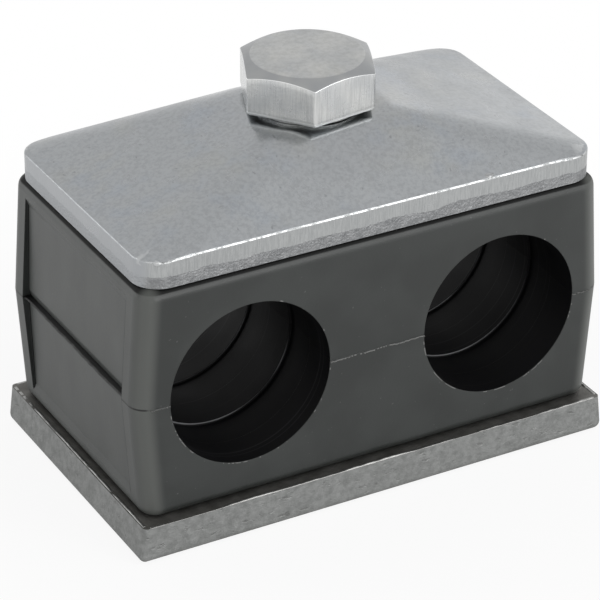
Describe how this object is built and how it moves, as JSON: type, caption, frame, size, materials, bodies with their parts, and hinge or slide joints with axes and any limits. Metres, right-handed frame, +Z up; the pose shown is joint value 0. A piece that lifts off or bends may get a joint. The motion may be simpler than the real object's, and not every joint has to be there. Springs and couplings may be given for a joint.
{
  "type": "hydraulic tube clamp",
  "caption": "Twin tube clamp: plastic halves with side-by-side ribbed tube seats, drawn down on a flat weld plate by a hexagon bolt through a hipped steel cover plate.",
  "frame": {"origin": "centre of the weld plate's underside, on the bolt's axis", "axes": "+X along the clamp from one tube to the other, +Y along the tubes, +Z up the bolt towards its head"},
  "size_m": [0.055, 0.032, 0.0439],
  "materials": {
    "bare_steel": "dull rolled and sheared bar",
    "black_plastic": "satin moulded polypropylene",
    "zinc_plated_sheet": "satin zinc plating",
    "zinc_plated_bolt": "bright zinc plating"
  },
  "bodies": {
    "base": {"weld_plate": "bare_steel", "threaded_collar": "bare_steel", "lower_clamp_half": "black_plastic"},
    "top": {"upper_clamp_half": "black_plastic", "cover_plate": "zinc_plated_sheet"},
    "bolt": {"hex_bolt": "zinc_plated_bolt"}
  },
  "joints": [
    {"name": "clamp_lift", "type": "slide", "parent": "base", "child": "top", "axis": [0, 0, 1], "range_m": [0, 0.007]},
    {"name": "bolt_turn", "type": "hinge", "parent": "top", "child": "bolt", "pos_m": [0, 0, 0.0386], "axis": [0, 0, 1], "range_deg": [0, 2016]}
  ],
  "couplings": [
    {"joint": "bolt_turn", "follows": "clamp_lift", "rad_per_m": 5026.5}
  ]
}
